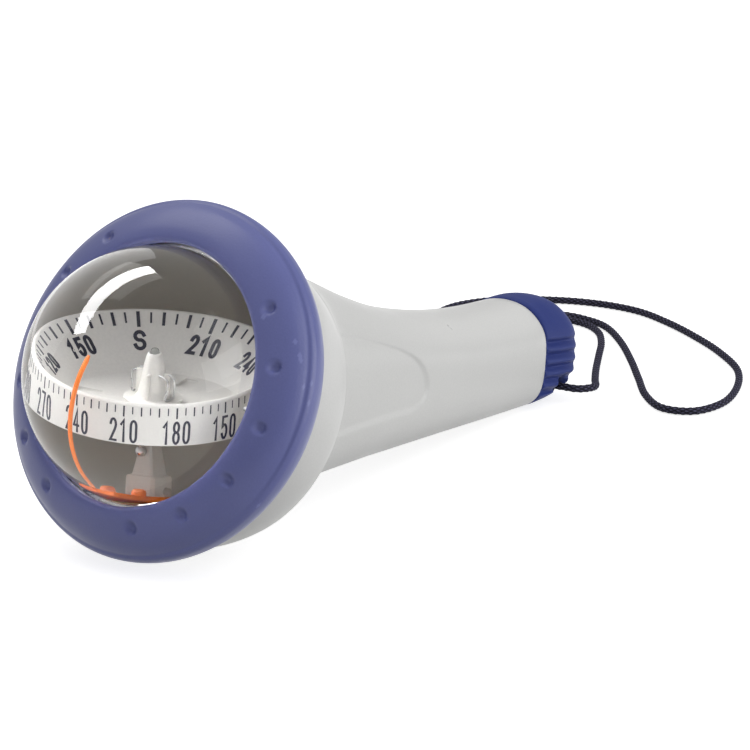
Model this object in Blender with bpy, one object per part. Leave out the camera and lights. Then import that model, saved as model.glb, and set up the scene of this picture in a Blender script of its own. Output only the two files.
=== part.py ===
"""Handheld bearing compass: fluid capsule with a gimballed card, soft bezel, hollow grip and lanyard.

The compass lies on a table as it does at rest: the bell's rear rim and the end cap touch z = 0.
The origin is under the middle of the object, +X runs from the window to the end cap, +Z is up.
Lengths below are millimetres until a mesh is made.
"""
import math

import bmesh
import bpy
from mathutils import Matrix, Vector

MM = 0.001                      # millimetres to metres
GAP = 0.3                       # clearance between touching pieces

# Head: everything is measured along the ring axis from the ring's widest plane
RING_X = -62.461                # ring centre, from the origin
RING_Z = 40.890                 # ring centre, above the table
HEAD_TILT = 25.7                # ring axis above the horizontal, degrees
RING_R = 42.0
RING_INNER_R = 30.6
DIMPLES = 16                    # evenly spaced places for them
PLAIN_PLACES = (0, 7, 14, 15)   # where the ring is left smooth
DIMPLE_CENTRE_R = 35.2

# Fluid capsule, measured from its own centre
CAPSULE_S = 4.05                # capsule centre along the ring axis
CAPSULE_TURN = -6.6             # the capsule sits turned in the bell by this many degrees
CAPSULE_R = 29.87
CAPSULE_INNER_R = 28.0
FLANGE_R = 33.4
PORT_R = 8.0                    # opening behind the bowl, closed by the diaphragm
YOKE_R = 27.3                   # the gimbal's yoke, about the same centre
YOKE_INNER_R = 25.7

# Compass card, measured from the capsule centre along the needle
CARD_R = 20.5
CARD_TOP = 1.7
CARD_SKIRT = -7.2
CARD_FLOOR = -4.4
CARD_FLOOR_R = 13.6
CARD_WALL = 0.8
CLIP_R = 0.22
PIVOT_Z = 2.6                   # needle tip

# Grip: its axis leaves the ring centre GRIP_DROP below it and slopes down
GRIP_DROP = 3.9
GRIP_SLOPE = 9.8
GRIP_END = 140.0                # joint between grip and cap, along the grip axis
CAP_LENGTH = 19.0
WALL = 2.5
FOOT = 0.21                     # half width of the narrow flat underneath, in half widths of the section
EYELET = (151.0, -7.4)          # along the grip axis, and above it
EYELET_R = 1.9
RIB_PITCH = 3.2                 # ribs on the cap's flanks, and the heights they lie between
RIBS_LOW = -9.0
RIBS_HIGH = 6.5

# Lanyard
CORD_R = 1.0
CORD_LIFT = 0.08                # keeps the cord just clear of the table
KNOT = (211.4, 36.2)            # from the ring centre, on the table
KNOT_SIZE = (3.6, 4.3, 2.5)     # half sizes of the tied knot

SIDES = 32                      # facets round most turned pieces
RING_SIDES = 40
CAP_SIDES = 56


# ---------------------------------------------------------------- small helpers

def material(name, color, roughness, metallic=0.0, transmission=0.0):
    made = bpy.data.materials.new(name)
    made.use_nodes = True
    shader = made.node_tree.nodes["Principled BSDF"]
    shader.inputs["Base Color"].default_value = (*color, 1.0)
    shader.inputs["Roughness"].default_value = roughness
    shader.inputs["Metallic"].default_value = metallic
    shader.inputs["Transmission Weight"].default_value = transmission
    return made


def empty(name, parent=None, matrix=Matrix()):
    made = bpy.data.objects.new(name, None)
    bpy.context.collection.objects.link(made)
    made.parent = parent
    made.matrix_local = matrix
    return made


def add(name, bm, parent, finish, matrix=Matrix()):
    """Close up a bmesh drawn in millimetres and link it as an object under its parent."""
    bmesh.ops.scale(bm, vec=(MM, MM, MM), verts=bm.verts)
    bmesh.ops.recalc_face_normals(bm, faces=bm.faces)
    mesh = bpy.data.meshes.new(name)
    bm.to_mesh(mesh)
    bm.free()
    mesh.materials.append(finish)
    mesh.shade_smooth()
    mesh.set_sharp_from_angle(angle=math.radians(35))
    made = bpy.data.objects.new(name, mesh)
    bpy.context.collection.objects.link(made)
    made.parent = parent
    made.matrix_local = matrix
    return made


def at(x=0.0, y=0.0, z=0.0, rotation=Matrix()):
    return Matrix.Translation(Vector((x, y, z)) * MM) @ rotation


def skin(bm, loops, ends):
    """Skin loops of points. ends: 'joined' wraps the last loop to the first, 'capped' closes each end."""
    rows = [[bm.verts.new(point) for point in loop] for loop in loops]
    pairs = list(zip(rows, rows[1:]))
    if ends == "joined":
        pairs.append((rows[-1], rows[0]))
    for low, high in pairs:
        for i in range(len(low)):
            j = (i + 1) % len(low)
            bm.faces.new((low[i], low[j], high[j], high[i]))
    if ends == "capped":
        bm.faces.new(rows[0][::-1])
        bm.faces.new(rows[-1])


def skinned(name, loops, parent, finish, ends="capped", matrix=Matrix()):
    bm = bmesh.new()
    skin(bm, loops, ends)
    return add(name, bm, parent, finish, matrix)


def ring_of(radius, z, sides=SIDES):
    turn = 2 * math.pi / sides
    return [(radius * math.cos(i * turn), radius * math.sin(i * turn), z) for i in range(sides)]


def turned(name, profile, parent, finish, sides=SIDES, matrix=Matrix()):
    """A solid of revolution about Z from (radius, height) points, as a hollow ring."""
    return skinned(name, [ring_of(r, z, sides) for r, z in profile], parent, finish, "joined", matrix)


def turned_solid(name, profile, parent, finish, sides=SIDES, matrix=Matrix()):
    """A solid of revolution about Z that is full at the axis: flat ends close it."""
    return skinned(name, [ring_of(r, z, sides) for r, z in profile], parent, finish, "capped", matrix)


def arc(radius, start, end, steps):
    """(radius, height) points on a circle about the capsule centre, angles up from the equator."""
    angles = [math.radians(start + (end - start) * i / steps) for i in range(steps + 1)]
    return [(radius * math.cos(a), radius * math.sin(a)) for a in angles]


def block(name, size, centre, parent, finish, bevel=0.0, matrix=Matrix()):
    bm = bmesh.new()
    bmesh.ops.create_cube(bm, size=1.0)
    bmesh.ops.scale(bm, vec=size, verts=bm.verts)
    bmesh.ops.translate(bm, vec=centre, verts=bm.verts)
    if bevel:
        bmesh.ops.bevel(bm, geom=bm.edges[:], offset=bevel, segments=2, affect="EDGES", profile=0.5)
    return add(name, bm, parent, finish, matrix)


def combine(target, tool, operation="UNION"):
    """Join or cut target with tool. The tool stays hidden as a wire guide."""
    tool.hide_render = True
    tool.display_type = "WIRE"
    modifier = target.modifiers.new(operation.title(), "BOOLEAN")
    modifier.operation = operation
    modifier.solver = "EXACT"
    modifier.object = tool


def tube(name, points, radius, parent, finish, resolution=2):
    curve = bpy.data.curves.new(name, "CURVE")
    curve.dimensions = "3D"
    curve.bevel_depth = radius * MM
    curve.bevel_resolution = resolution
    curve.use_fill_caps = True
    spline = curve.splines.new("POLY")
    spline.points.add(len(points) - 1)
    for target, point in zip(spline.points, points):
        target.co = (*(Vector(point) * MM), 1.0)
    curve.materials.append(finish)
    made = bpy.data.objects.new(name, curve)
    bpy.context.collection.objects.link(made)
    made.parent = parent
    return made


def rod_loops(points, radius, sides=10):
    """Outlines round a bent rod that lies in the X-Z plane."""
    loops = []
    for i, point in enumerate(points):
        along = (points[min(i + 1, len(points) - 1)] - points[max(i - 1, 0)]).normalized()
        across = Vector((0.0, 1.0, 0.0))
        outward = along.cross(across)
        angles = [2 * math.pi * k / sides for k in range(sides)]
        loops.append([point + (outward * math.cos(a) + across * math.sin(a)) * radius for a in angles])
    return loops


def spline_value(values, u):
    """A smooth curve through evenly spaced values, read at u from 0 to len(values) - 1."""
    i = min(int(u), len(values) - 2)
    f = u - i
    before = values[i - 1] if i else 2 * values[0] - values[1]
    after = values[i + 2] if i + 2 < len(values) else 2 * values[-1] - values[-2]
    a, b = values[i], values[i + 1]
    return 0.5 * (2 * a + (b - before) * f + (2 * before - 5 * a + 4 * b - after) * f ** 2
                  + (3 * a - before - 3 * b + after) * f ** 3)


def smooth_route(route, spacing):
    """Evenly spaced points on the smooth curve through a route."""
    points = [Vector(point) for point in route]
    fine = [spline_value(points, i / 20) for i in range(20 * (len(points) - 1) + 1)]
    travelled = [0.0]
    for a, b in zip(fine, fine[1:]):
        travelled.append(travelled[-1] + (b - a).length)
    count = round(travelled[-1] / spacing)
    out = []
    j = 0
    for k in range(count + 1):
        goal = travelled[-1] * k / count
        while j < len(fine) - 2 and travelled[j + 1] < goal:
            j += 1
        share = (goal - travelled[j]) / (travelled[j + 1] - travelled[j])
        out.append(fine[j].lerp(fine[j + 1], share))
    return out


# ---------------------------------------------------------------- grip sections

def unit_section(count):
    """The grip's outline scaled to +-1: flat flanks, a shoulder at each side and an arched top.

    The points straddle the lowest place, so that a facet rather than an edge rests on the table.
    """
    half = [(0.50, 0.98), (0.86, 0.70), (0.99, 0.46), (1.02, 0.20), (1.03, -0.30), (0.97, -0.74),
            (0.62, -1.03)]
    control = [(0.0, 1.06)] + half + [(0.0, -1.09)] + [(-y, z) for y, z in reversed(half)]
    size = len(control)
    points = []
    for k in range(count):
        u = (k + 0.5) * size / count
        i = int(u)
        f = u - i
        weights = ((1 - f) ** 3 / 6, (3 * f ** 3 - 6 * f ** 2 + 4) / 6,
                   (-3 * f ** 3 + 3 * f ** 2 + 3 * f + 1) / 6, f ** 3 / 6)
        corners = [control[(i + j - 1) % size] for j in range(4)]
        points.append(tuple(sum(w * c[axis] for w, c in zip(weights, corners)) for axis in (0, 1)))
    widest = max(y for y, _ in points)
    highest = max(z for _, z in points)
    lowest = min(z for _, z in points)
    return [(y / widest, z / (highest if z > 0 else -lowest)) for y, z in points]


def section_loop(top, bottom, half_width, roundness, waist, inset=0.0, count=SIDES):
    """A closed outline through its top and bottom points (x, z), lying across the X-Z plane.

    roundness 1 is a circle, 0 the grip's outline; waist is how far up the widest line lies.
    """
    top = Vector((top[0], 0.0, top[1]))
    bottom = Vector((bottom[0], 0.0, bottom[1]))
    up = (top - bottom).normalized()
    height = (top - bottom).length
    middle = bottom + up * height * waist
    above = height * (1 - waist) - inset
    below = height * waist - inset
    outline = []
    for y, z in unit_section(count):
        angle = math.atan2(z, y)
        outline.append((y + (math.cos(angle) - y) * roundness, z + (math.sin(angle) - z) * roundness))
    lowest = min(z for _, z in outline)
    loop = []
    for y, z in outline:
        if math.isclose(z, lowest):
            y = math.copysign(FOOT, y)
        across = Vector((0.0, y * (half_width - inset), 0.0))
        loop.append(middle + across + up * (z * above if z > 0 else z / -lowest * below))
    return loop


def head_point(s, r):
    """(x, z) of the point r up from the ring axis at s along it."""
    tilt = math.radians(HEAD_TILT)
    return (-s * math.cos(tilt) + r * math.sin(tilt), s * math.sin(tilt) + r * math.cos(tilt))


def grip_point(t, z):
    """(x, z) of the point z above the grip axis at t along it."""
    slope = math.radians(GRIP_SLOPE)
    return (t * math.cos(slope) + z * math.sin(slope), -GRIP_DROP - t * math.sin(slope) + z * math.cos(slope))


def bell_station(s, r):
    return (head_point(s, r), head_point(s, -r), r, 1.0, 0.5)


def grip_station(t, above, below, half_width):
    return (grip_point(t, above), grip_point(t, -below), half_width, 0.0, below / (above + below))


BELL = [bell_station(s, r) for s, r in ((3.0, 37.3), (-5.0, 37.3), (-12.0, 37.1), (-18.0, 35.9), (-22.5, 34.4))]
NECK = [((37.0, 20.4), (8.2, -40.4), 32.9, 0.9, 0.5),
        ((39.3, 18.9), (12.4, -38.3), 29.0, 0.7, 0.49),
        ((43.3, 16.7), (18.2, -35.2), 24.6, 0.4, 0.47),
        ((49.0, 13.8), (26.5, -33.0), 21.6, 0.15, 0.45)]
GRIP = [grip_station(t, above, below, half) for t, above, below, half in (
    (60.0, 20.9, 20.5, 19.4), (76.0, 16.9, 19.1, 18.0), (92.0, 14.6, 17.7, 16.8), (108.0, 13.4, 16.3, 15.8),
    (124.0, 13.4, 14.9, 14.9), (GRIP_END, 14.6, 13.3, 14.2))]
STATIONS = BELL + NECK + GRIP


def station(u):
    """The housing's outline data at a place between its stations."""
    columns = zip(*((*top, *bottom, *rest) for top, bottom, *rest in STATIONS))
    top_x, top_z, bottom_x, bottom_z, half_width, roundness, waist = (spline_value(list(c), u) for c in columns)
    return (top_x, top_z), (bottom_x, bottom_z), half_width, roundness, waist


# ---------------------------------------------------------------- head

def make_bezel(head, finish):
    """Soft ring round the window, with a row of thumb dimples."""
    profile = [(RING_INNER_R, 8.6), (31.2, 9.1), (33.0, 8.75), (35.2, 7.8), (37.6, 6.3), (39.6, 4.5),
               (41.2, 2.4), (RING_R, 0.0), (41.7, -2.0), (40.7, -4.0), (39.2, -5.5), (38.3, -5.6), (38.3, 3.4),
               (35.1, 3.4), (35.1, 6.35), (RING_INNER_R, 6.35)]
    bezel = turned("bezel_ring", profile, head, finish, RING_SIDES)
    bm = bmesh.new()
    for i in range(DIMPLES):
        if i in PLAIN_PLACES:
            continue
        angle = 2 * math.pi * (i + 0.5) / DIMPLES
        place = Matrix.Translation((DIMPLE_CENTRE_R * math.cos(angle), DIMPLE_CENTRE_R * math.sin(angle), 9.1))
        bmesh.ops.create_icosphere(bm, subdivisions=1, radius=2.1, matrix=place)
    combine(bezel, add("dimple_cutter", bm, head, finish), "DIFFERENCE")


def make_capsule(capsule, clear, grey, rubber, steel):
    """Window and bowl clamp a seal and the ring that carries the gimbal's trunnions."""
    window = ([(0.4, CAPSULE_R)] + arc(CAPSULE_R, 82, 6, 7) + [(CAPSULE_R - 0.1, 2.0), (FLANGE_R, 2.0),
              (FLANGE_R, 0.9), (CAPSULE_INNER_R - 0.1, 0.9)] + arc(CAPSULE_INNER_R, 5, 82, 7)
              + [(0.4, CAPSULE_INNER_R)])
    skinned("dome_window", [ring_of(r, z) for r, z in window], capsule, clear, "capped")
    bowl = ([(FLANGE_R, -0.9), (FLANGE_R, -3.1), (CAPSULE_R - 0.1, -3.1)] + arc(CAPSULE_R - 0.1, -10, -60, 4)
            + [(13.2, -27.2), (13.2, -30.6), (PORT_R, -30.6), (PORT_R, -26.83)]
            + arc(CAPSULE_INNER_R, -68, -4, 6) + [(CAPSULE_INNER_R, -0.9)])
    bowl = turned("rear_bowl", bowl, capsule, grey)
    turned("capsule_seal", [(31.4, 0.6), (33.1, 0.6), (33.1, -0.6), (31.4, -0.6)], capsule, rubber)
    carrier = turned("trunnion_ring", [(28.3, 0.6), (30.9, 0.6), (30.9, -0.6), (28.3, -0.6)], capsule, steel)
    for side in (-1, 1):
        turn = Matrix.Rotation(-side * math.pi / 2, 4, "X")
        pin = turned_solid("trunnion_guide", [(0.55, 25.3), (0.55, 28.9)], capsule, steel, 12, turn)
        combine(carrier, pin)
    plug_turn = Matrix.Rotation(math.radians(140), 4, "Y")
    turned_solid("filler_cutter", [(2.0, 26.0), (2.0, 33.0)], capsule, grey, 16, plug_turn)
    combine(bowl, bpy.data.objects["filler_cutter"], "DIFFERENCE")
    plug = [(1.7, 28.2), (1.7, 30.4), (3.0, 30.4), (3.0, 31.6)]
    turned_solid("filler_plug", plug, capsule, steel, 16, plug_turn)


def make_diaphragm(capsule, rubber, grey):
    """Rubber diaphragm over the bowl's rear port, and the ring that clamps it."""
    turned_solid("expansion_diaphragm", [(4.5, -28.6), (6.6, -29.3), (7.2, -30.9), (12.9, -30.9), (12.9, -31.7),
                 (6.2, -31.7), (5.6, -30.4), (4.0, -29.7)], capsule, rubber)
    turned("diaphragm_clamp", [(8.5, -32.0), (13.0, -32.0), (13.0, -33.6), (8.5, -33.6)], capsule, grey)


# ---------------------------------------------------------------- gimbal and card

def make_gimbal(frame, clear, orange, steel, brass):
    """Clear yoke hung from the trunnions, with the post, needle, lubber rod and ballast."""
    steps = 24
    loops = []
    for i in range(steps + 1):
        angle = -math.pi * (0.02 + 0.96 * i / steps)
        y, z = math.cos(angle), math.sin(angle)
        loops.append([(x, y * radius, z * radius) for x, radius in (
            (-2.0, YOKE_INNER_R), (2.0, YOKE_INNER_R), (2.0, YOKE_R), (-2.0, YOKE_R))])
    yoke = skinned("gimbal_yoke", loops, frame, clear, "capped")
    for side in (-1, 1):
        turn = Matrix.Rotation(-side * math.pi / 2, 4, "X")
        boss = turned_solid("boss_guide", [(2.0, 25.5), (2.0, 27.2)], frame, clear, 16, turn)
        combine(yoke, boss)
    for side in (-1, 1):
        turn = Matrix.Rotation(-side * math.pi / 2, 4, "X")
        bore = turned_solid("bore_guide", [(0.95, 24.0), (0.95, 29.0)], frame, clear, 16, turn)
        combine(yoke, bore, "DIFFERENCE")
    post = [(2.6, 3.9, -26.5), (2.6, 3.7, -19.5), (2.4, 3.3, -13.4), (2.0, 2.9, -13.0), (1.2, 1.3, -9.8)]
    corners = ((-1, -1), (1, -1), (1, 1), (-1, 1))
    post_loops = [[(i * depth, j * width, z) for i, j in corners] for depth, width, z in post]
    combine(yoke, skinned("post_guide", post_loops, frame, clear))
    turned_solid("needle_cutter", [(0.75, -16.0), (0.75, -5.0)], frame, clear, 12)
    combine(yoke, bpy.data.objects["needle_cutter"], "DIFFERENCE")
    turned_solid("pivot_needle", [(0.45, -15.7), (0.45, 1.0), (0.08, PIVOT_Z)], frame, steel, 12)
    rod_route = [(-20.2, 9.6), (-23.0, 6.2), (-24.9, 2.4), (-26.0, -2.5), (-25.8, -7.5), (-24.2, -12.0),
                 (-21.4, -16.2), (-16.4, -20.4)]
    rod_points = smooth_route([(x, 0.0, z) for x, z in rod_route], 2.2)
    rod = skinned("rod_guide", rod_loops(rod_points, 0.55), frame, orange)
    lubber = block("lubber_rod", (21.6, 9.4, 1.6), (-5.4, 0.0, -20.6), frame, orange)
    window = block("slot_guide", (5.8, 8.4, 4.0), (0.0, 0.0, -20.6), frame, orange)
    combine(lubber, window, "DIFFERENCE")
    combine(lubber, rod)
    for side in (-1, 1):
        knob = turned_solid("knob_guide", [(1.3, -21.0), (1.3, -18.7), (0.8, -18.3)], frame, orange, 12,
                            at(-6.4, side * 3.3))
        combine(lubber, knob)
    turned("keel_weight", [(5.0, -22.3), (8.8, -22.3), (8.0, -24.2), (5.0, -24.2)], frame, brass, 24)


def make_card(card, white, clear, steel):
    """Dished dial with a skirt, carried by a hollow tower that rides on the needle."""
    floor = CARD_FLOOR - CARD_WALL
    profile = [(CARD_R, CARD_TOP), (CARD_R + 0.1, 1.2), (CARD_R - 0.2, CARD_SKIRT),
               (CARD_R - 0.2 - CARD_WALL, CARD_SKIRT), (CARD_R - 0.1 - CARD_WALL, 0.5),
               (CARD_FLOOR_R - 0.3, floor), (4.0, floor), (4.0, CARD_FLOOR), (CARD_FLOOR_R, CARD_FLOOR),
               (CARD_R - 0.5, CARD_TOP)]
    dial = turned("card_dial", profile, card, white, RING_SIDES)
    for i in range(4):
        slot = block("slot_cutter", (3.8, 2.0, 2.0), (0.0, 0.0, 0.0), card, white)
        slot.matrix_local = Matrix.Rotation(math.radians(15 + 90 * i), 4, "Z") @ at(10.8, 0.0, CARD_FLOOR + 0.6)
        combine(dial, slot, "DIFFERENCE")
    hub = [(3.7, -5.2), (3.7, -3.9), (4.8, -3.9), (4.8, -3.3), (3.3, -3.0), (2.5, 0.6), (1.5, 3.7), (1.1, 4.3),
           (0.9, 4.3), (0.9, 3.4), (1.3, 1.0), (2.5, -3.6), (2.5, -5.2)]
    turned("card_hub", hub, card, white, 24)
    cup = [(0.6, 5.1), (0.65, 3.0), (1.0, 1.9), (0.62, 1.9), (0.2, 2.95)]
    skinned("jewel_cup", [ring_of(r, z, 16) for r, z in cup], card, clear, "capped")
    for side, name in ((-1, "hub_clip_left"), (1, "hub_clip_right")):
        bends = [(0.8, 2.9, 0.9), (0.8, 4.1, 0.2), (1.0, 3.95, -2.75), (-1.0, 3.95, -2.75), (-0.8, 4.1, 0.2),
                 (-0.8, 2.9, 0.9)]
        tube(name, [(x, side * y, z) for x, y, z in bends], CLIP_R, card, steel, 1)
    for side, name in ((-1, "card_magnet_left"), (1, "card_magnet_right")):
        block(name, (14.0, 2.2, 2.2), (0.0, side * 7.4, floor - 0.3 - 1.1), card, steel)


# ---------------------------------------------------------------- housing, cap and what they hold

def make_housing(head_level, finish):
    """Bell and grip in one hollow moulding, open at the window and at the cap."""
    last = len(STATIONS) - 1
    outer = [0.0, 1.0, 2.0, 3.0, 3.6, 4.0, 4.5, 5.0, 5.5, 6.0, 7.0, 8.0, 9.0, 10.0, 11.0, 12.0, 13.0, last]
    inner = [last, 12.0, 10.0, 8.0, 6.8, 5.6, 4.4, 3.6, 3.0, 2.0, 0.0]
    loops = [section_loop(*station(u)) for u in outer] + [section_loop(*station(u), inset=WALL) for u in inner]
    skinned("housing_grip", loops, head_level, finish, "joined")


def cap_loop(t, above, below, half, ripple=0.0, count=CAP_SIDES):
    """The cap's outline at t, with grip ribs standing out of both flanks by ripple."""
    top, bottom = grip_point(t, above), grip_point(t, -below)
    loop = section_loop(top, bottom, half, 0.0, below / (above + below), count=count)
    centre_x, centre_z = grip_point(t, 0.0)
    centre = Vector((centre_x, 0.0, centre_z))
    up = Vector((top[0] - bottom[0], 0.0, top[1] - bottom[1])).normalized()
    out = []
    for point in loop:
        height = (point - centre).dot(up)
        groove = 0.5 - 0.5 * math.cos(2 * math.pi * height / RIB_PITCH)
        if abs(point.y) > 0.72 * half and RIBS_LOW < height < RIBS_HIGH:
            point.y -= math.copysign(ripple * groove, point.y)
        out.append(point)
    return out


def make_cap(cap, finish, rubber, steel):
    """Ribbed end cap with a hollow spigot, its seal, and the battery contact spring."""
    t = GRIP_END
    shape = [(t + GAP, 14.5, 13.0, 13.9, 0.0), (t + 0.9, 15.0, 13.2, 14.3, 0.9), (t + 7.0, 15.6, 12.0, 14.4, 0.9),
             (t + 12.0, 15.2, 10.4, 14.1, 0.9), (t + 15.4, 14.0, 8.8, 13.2, 0.6),
             (t + 17.8, 12.2, 7.0, 11.6, 0.0), (t + CAP_LENGTH, 9.8, 5.0, 9.2, 0.0)]
    outer = [cap_loop(*item) for item in reversed(shape)]
    def spigot(place, inset):
        return cap_loop(place, 14.4 - inset, 13.1 - inset, 14.0 - inset)
    steps = [(t + GAP, 3.1), (t - 3.0, 3.1), (t - 3.0, 4.3), (t - 5.2, 4.3), (t - 5.2, 3.1), (t - 8.5, 3.3),
             (t - 8.5, 5.4), (t + 5.0, 5.6)]
    cap_body = skinned("end_cap", outer + [spigot(*item) for item in steps], cap, finish, "capped")
    hole = turned_solid("eyelet_cutter", [(EYELET_R, -20.0), (EYELET_R, 20.0)], cap, finish, 16,
                        at(*eyelet_place(), rotation=Matrix.Rotation(math.pi / 2, 4, "X")))
    combine(cap_body, hole, "DIFFERENCE")
    seal = [(t - 3.3, 4.0), (t - 3.3, 2.85), (t - 4.9, 2.85), (t - 4.9, 4.0)]
    seal_loops = [cap_loop(place, 14.4 - i, 13.1 - i, 14.0 - i, count=SIDES) for place, i in seal]
    skinned("cap_seal", seal_loops, cap, rubber, "joined")
    coils = 5
    wire = []
    for k in range(coils * 10 + 1):
        angle = 2 * math.pi * k / 10
        radius = 2.6 + 1.6 * k / (coils * 10)
        x, z = grip_point(t - 4.1 + 8.3 * k / (coils * 10), radius * math.sin(angle))
        wire.append((x, radius * math.cos(angle), z))
    tube("contact_spring", wire, 0.35, cap, steel, 1)


def eyelet_place():
    x, z = grip_point(*EYELET)
    return (x, 0.0, z)


def make_light(grip, board_green, red, dark, grey):
    """Night light and its two cells in a carrier tube along the grip; local Z runs along the grip axis."""
    turned("battery_tube", [(5.7, 48.0), (12.0, 48.0), (12.0, 50.0), (6.8, 50.0), (6.8, 124.0), (9.4, 124.0),
                            (9.4, 126.0), (6.8, 126.0), (6.8, 130.5), (5.7, 130.5)], grip, grey, 24)
    cell = [(5.25, 0.0), (5.25, 43.4), (1.9, 43.4), (1.9, 44.5)]
    for name, start in (("battery_front", 90.4), ("battery_rear", 135.2)):
        turned_solid(name, [(r, start - z) for r, z in cell], grip, dark, 24)
    turned_solid("lamp_board", [(11.0, 44.0), (11.0, 45.6)], grip, board_green, 24)
    turned_solid("night_lamp", [(1.6, 38.6), (2.4, 39.6), (2.5, 42.6), (2.9, 42.7), (2.9, 43.7)], grip, red, 16)


def make_lanyard(cap, cord_black):
    """A wrist loop: from its knot round the table, through the cap's eyelet and back to the knot."""
    eye_x, _, eye_z = eyelet_place()
    table = -RING_Z + CORD_R + CORD_LIFT
    kx, ky = KNOT
    route = [(kx + 1.7, ky - 4.4, table + 0.7), (215.2, 24.5, table), (211.5, 14, table), (201, 2.5, table),
             (187, -9.5, table), (173, -20.5, table), (161, -30, table), (153.5, -39.5, table),
             (155.5, -48, table), (166, -50.5, table), (180, -46.5, table), (194, -38.5, table),
             (206, -26, table), (215.5, -13, table), (224, 1, table), (230, 15, table), (230.5, 30, table),
             (226, 44, table), (218, 55.5, table), (207, 61.5, table), (195, 60.5, table), (184, 54, table),
             (175, 44, table), (166.5, 33, table + 0.1), (158.5, 24.5, table + 0.9),
             (eye_x + 3.3, 17.4, eye_z - 0.5), (eye_x, 11.6, eye_z), (eye_x, 2.5, eye_z), (eye_x, -6.5, eye_z),
             (eye_x + 0.1, -12.6, eye_z), (148.9, -16.7, eye_z - 0.3), (152.6, -18.4, eye_z - 0.7),
             (157.2, -17, table + 1.5), (164, -12.6, table + 0.6), (174, -6.6, table + 0.1), (186, 0, table),
             (197.2, 6.2, table), (205.8, 12.8, table), (211, 21.2, table), (kx - 1.7, ky - 4.4, table + 0.7)]
    tube("lanyard_cord", smooth_route(route, 5.6), CORD_R, cap, cord_black)
    bm = bmesh.new()
    bmesh.ops.create_uvsphere(bm, u_segments=16, v_segments=10, radius=1.0)
    bmesh.ops.scale(bm, vec=KNOT_SIZE, verts=bm.verts)
    add("lanyard_knot", bm, cap, cord_black, at(kx, ky, KNOT_SIZE[2] - RING_Z))


def build():
    for old in list(bpy.data.objects):
        bpy.data.objects.remove(old, do_unlink=True)
    blue = material("blue elastomer", (0.10, 0.13, 0.35), 0.55)
    grey = material("light grey shell", (0.56, 0.56, 0.54), 0.4)
    bowl_grey = material("capsule grey", (0.20, 0.19, 0.18), 0.6)
    clear = material("clear acrylic", (0.95, 0.96, 0.97), 0.02, transmission=1.0)
    rubber = material("black rubber", (0.02, 0.02, 0.02), 0.7)
    steel = material("steel", (0.6, 0.6, 0.6), 0.3, metallic=1.0)
    brass = material("brass", (0.7, 0.52, 0.25), 0.35, metallic=1.0)
    orange = material("orange plastic", (0.9, 0.2, 0.03), 0.45)
    white = material("white card", (0.8, 0.79, 0.76), 0.5)
    board = material("lamp board", (0.03, 0.2, 0.08), 0.5)
    red = material("red lamp", (0.6, 0.02, 0.02), 0.2)
    cell_dark = material("cell sleeve", (0.08, 0.08, 0.09), 0.4)
    cord_black = material("cord", (0.035, 0.035, 0.055), 0.8)

    compass = empty("compass", matrix=at(RING_X, 0.0, RING_Z))
    tilt = math.radians(HEAD_TILT)
    axis = Vector((-math.cos(tilt), 0.0, math.sin(tilt)))
    rise = Vector((math.sin(tilt), 0.0, math.cos(tilt)))
    head_turn = Matrix((rise, (0.0, 1.0, 0.0), axis)).transposed().to_4x4()
    head = empty("head", compass, head_turn)
    capsule_turn = Matrix.Rotation(math.radians(CAPSULE_TURN), 4, "Z")
    capsule = empty("capsule", head, at(z=CAPSULE_S, rotation=capsule_turn))

    # The gimbal hangs plumb below its own axle, which is the capsule's Y axis
    axle = (head_turn @ capsule_turn).col[1].to_3d()
    plumb = (Vector((0.0, 0.0, 1.0)) - axle * axle.z).normalized()
    hang = Matrix((axle.cross(plumb), axle, plumb)).transposed().to_4x4()
    centre = axis * CAPSULE_S
    gimbal = empty("gimbal", compass, at(*centre, rotation=hang))
    card = empty("card", gimbal)
    cap = empty("cap", compass)
    slope = math.radians(GRIP_SLOPE)
    grip = empty("grip", compass, at(0.0, 0.0, -GRIP_DROP, Matrix.Rotation(math.pi / 2 + slope, 4, "Y")))

    make_bezel(head, blue)
    make_capsule(capsule, clear, bowl_grey, rubber, steel)
    make_diaphragm(capsule, rubber, bowl_grey)
    make_gimbal(gimbal, clear, orange, steel, brass)
    make_card(card, white, clear, steel)
    make_housing(compass, grey)
    make_cap(cap, blue, rubber, steel)
    make_light(grip, board, red, cell_dark, bowl_grey)
    make_lanyard(cap, cord_black)


build()
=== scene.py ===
"""Handheld bearing compass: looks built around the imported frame.

Lengths are millimetres in the row frame until a mesh is made, which scales them to metres.
"""
import math

import bmesh
import bpy
from mathutils import Matrix, Vector


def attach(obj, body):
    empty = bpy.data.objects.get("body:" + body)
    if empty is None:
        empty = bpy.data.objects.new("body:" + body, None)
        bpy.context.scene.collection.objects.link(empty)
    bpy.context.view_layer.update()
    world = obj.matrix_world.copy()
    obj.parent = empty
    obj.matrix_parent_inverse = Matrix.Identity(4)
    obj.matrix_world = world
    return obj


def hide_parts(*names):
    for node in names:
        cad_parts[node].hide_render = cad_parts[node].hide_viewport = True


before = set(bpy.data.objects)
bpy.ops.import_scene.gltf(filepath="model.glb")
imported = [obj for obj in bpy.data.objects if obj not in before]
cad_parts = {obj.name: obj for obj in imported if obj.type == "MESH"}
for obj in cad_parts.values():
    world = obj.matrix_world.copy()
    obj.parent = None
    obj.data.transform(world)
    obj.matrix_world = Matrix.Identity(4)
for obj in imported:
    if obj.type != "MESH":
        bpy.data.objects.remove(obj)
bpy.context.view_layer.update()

MM = 0.001                      # millimetres to metres
TAU = 2 * math.pi
GAP = 0.3                       # clearance between touching pieces
ON_AXIS = 0.0001                # radius that closes a turned solid at its axis

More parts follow.
